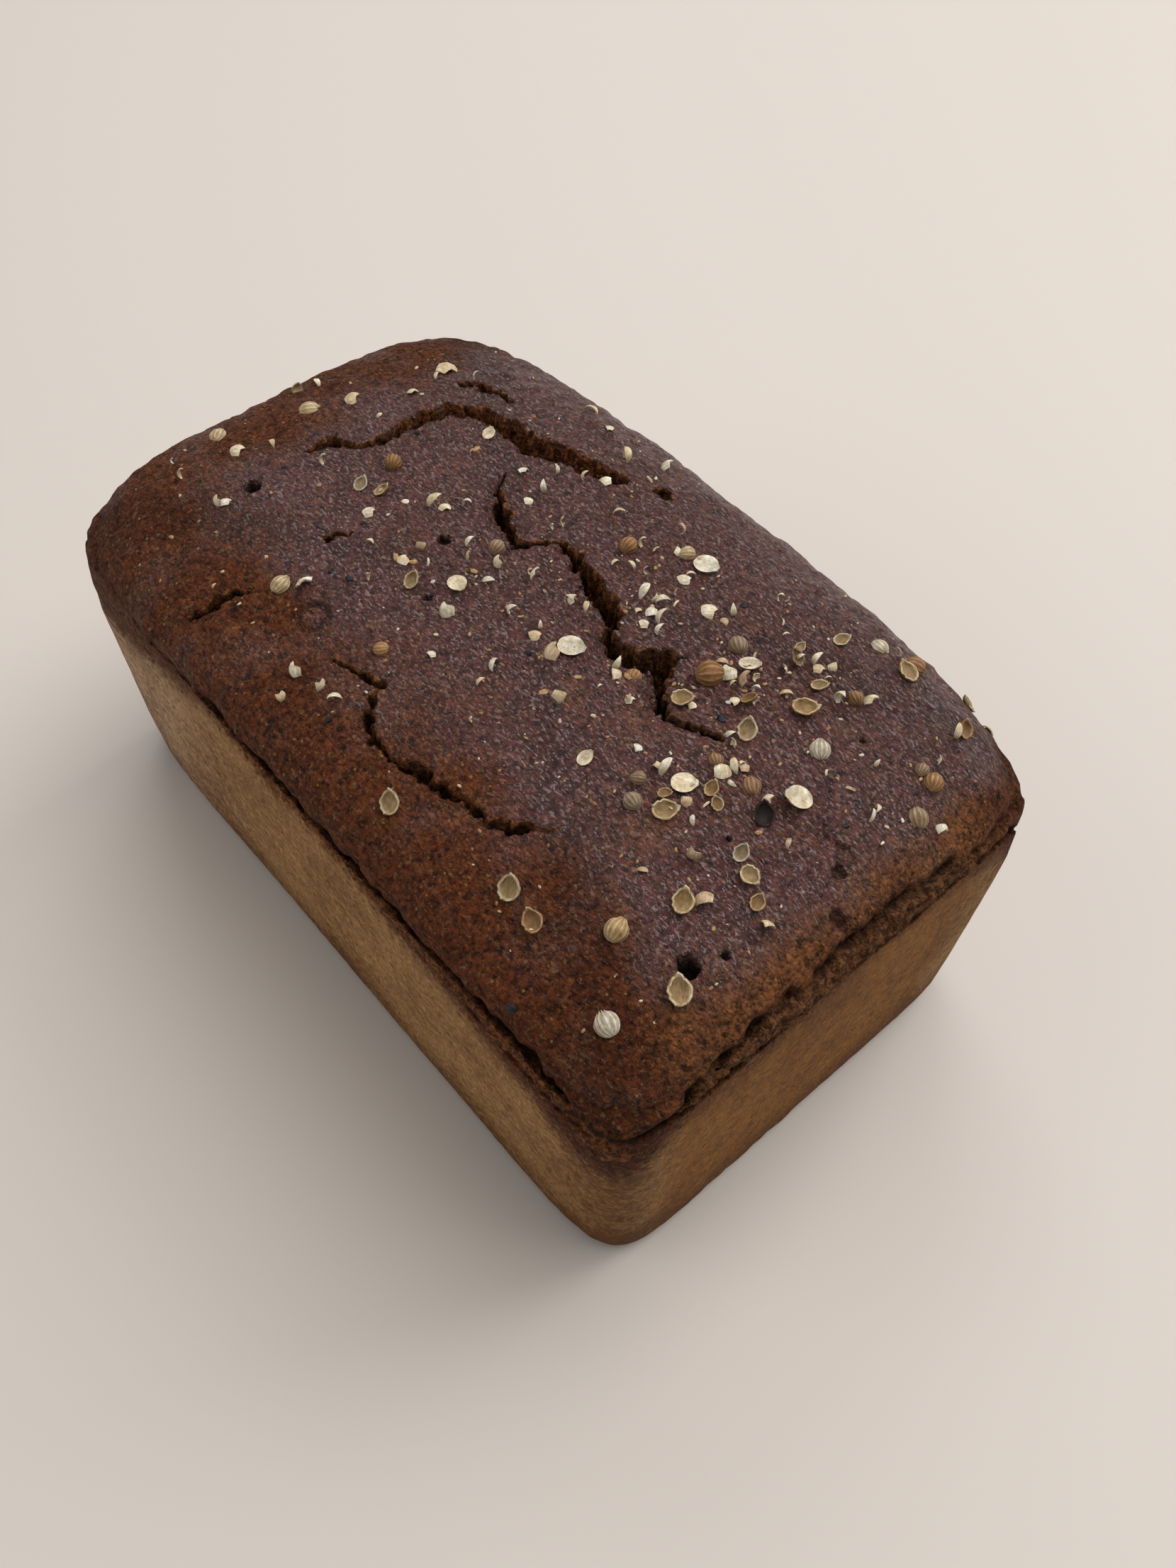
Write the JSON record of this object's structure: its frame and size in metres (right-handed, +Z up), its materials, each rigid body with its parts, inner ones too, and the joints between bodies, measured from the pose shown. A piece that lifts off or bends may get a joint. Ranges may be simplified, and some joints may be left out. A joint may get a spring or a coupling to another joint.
{
  "type": "rye bread loaf",
  "caption": "Small tin-baked rye loaf with tan tapered sides and a dark, cracked, domed crust.",
  "frame": {"origin": "middle of the flat base, on the surface the loaf stands on", "axes": "+X along the loaf's length, +Y across its width, +Z up through the domed top"},
  "size_m": [0.1638, 0.1016, 0.0788],
  "materials": {
    "crust": "baked rye crust, dark brown on top and tan where it lay against the tin",
    "seed": "dry coriander seed and husk, straw to grey"
  },
  "bodies": {
    "root": {"loaf": "crust"}
  },
  "joints": []
}
